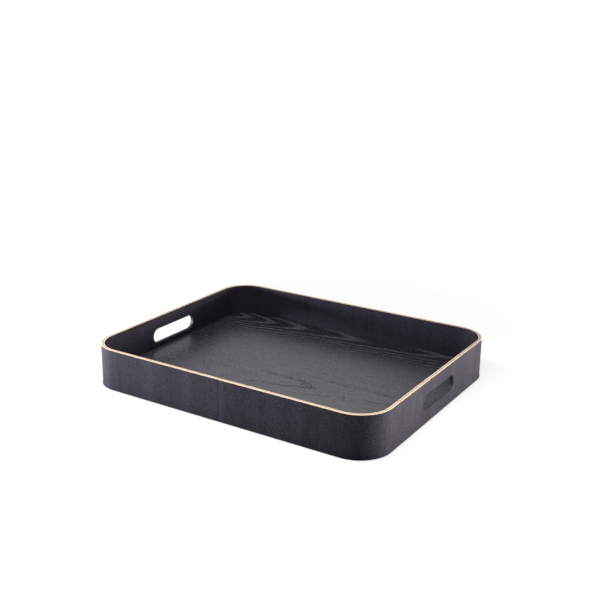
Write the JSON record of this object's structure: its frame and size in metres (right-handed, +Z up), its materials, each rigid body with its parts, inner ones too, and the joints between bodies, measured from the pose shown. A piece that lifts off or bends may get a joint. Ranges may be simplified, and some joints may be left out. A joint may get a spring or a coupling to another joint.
{
  "type": "serving tray",
  "caption": "Rectangular wooden serving tray with round corners, low bent-plywood walls stained black with a raw rim, a finger slot in each end and a flat veneered base.",
  "frame": {"origin": "centre of the footprint, on the surface that the tray stands on", "axes": "+X along the long side, +Y from the front long wall to the back long wall, +Z up"},
  "size_m": [0.5, 0.4, 0.065],
  "materials": {
    "stained_wall_veneer": "matt black stain, upright fine-pored grain",
    "stained_base_veneer": "satin black stain, open-pored cathedral grain",
    "raw_long_ply": "raw sanded edge, clear lacquer",
    "raw_cross_ply": "raw sanded edge, clear lacquer"
  },
  "bodies": {
    "root": {"outer_face_veneer_right": "stained_wall_veneer", "outer_face_veneer_left": "stained_wall_veneer", "inner_face_veneer_upper_right": "stained_wall_veneer", "inner_face_veneer_upper_left": "stained_wall_veneer", "inner_face_veneer_lower_right": "stained_wall_veneer", "inner_face_veneer_lower_left": "stained_wall_veneer", "outer_core_ply_right": "raw_long_ply", "outer_core_ply_left": "raw_long_ply", "middle_core_ply_right": "raw_cross_ply", "middle_core_ply_left": "raw_cross_ply", "inner_core_ply_upper_right": "raw_long_ply", "inner_core_ply_upper_left": "raw_long_ply", "inner_core_ply_lower_right": "raw_long_ply", "inner_core_ply_lower_left": "raw_long_ply", "base_top_veneer": "stained_base_veneer", "base_upper_core_ply": "raw_cross_ply", "base_middle_core_ply": "raw_long_ply", "base_lower_core_ply": "raw_cross_ply", "base_backing_veneer": "stained_base_veneer"}
  },
  "joints": []
}
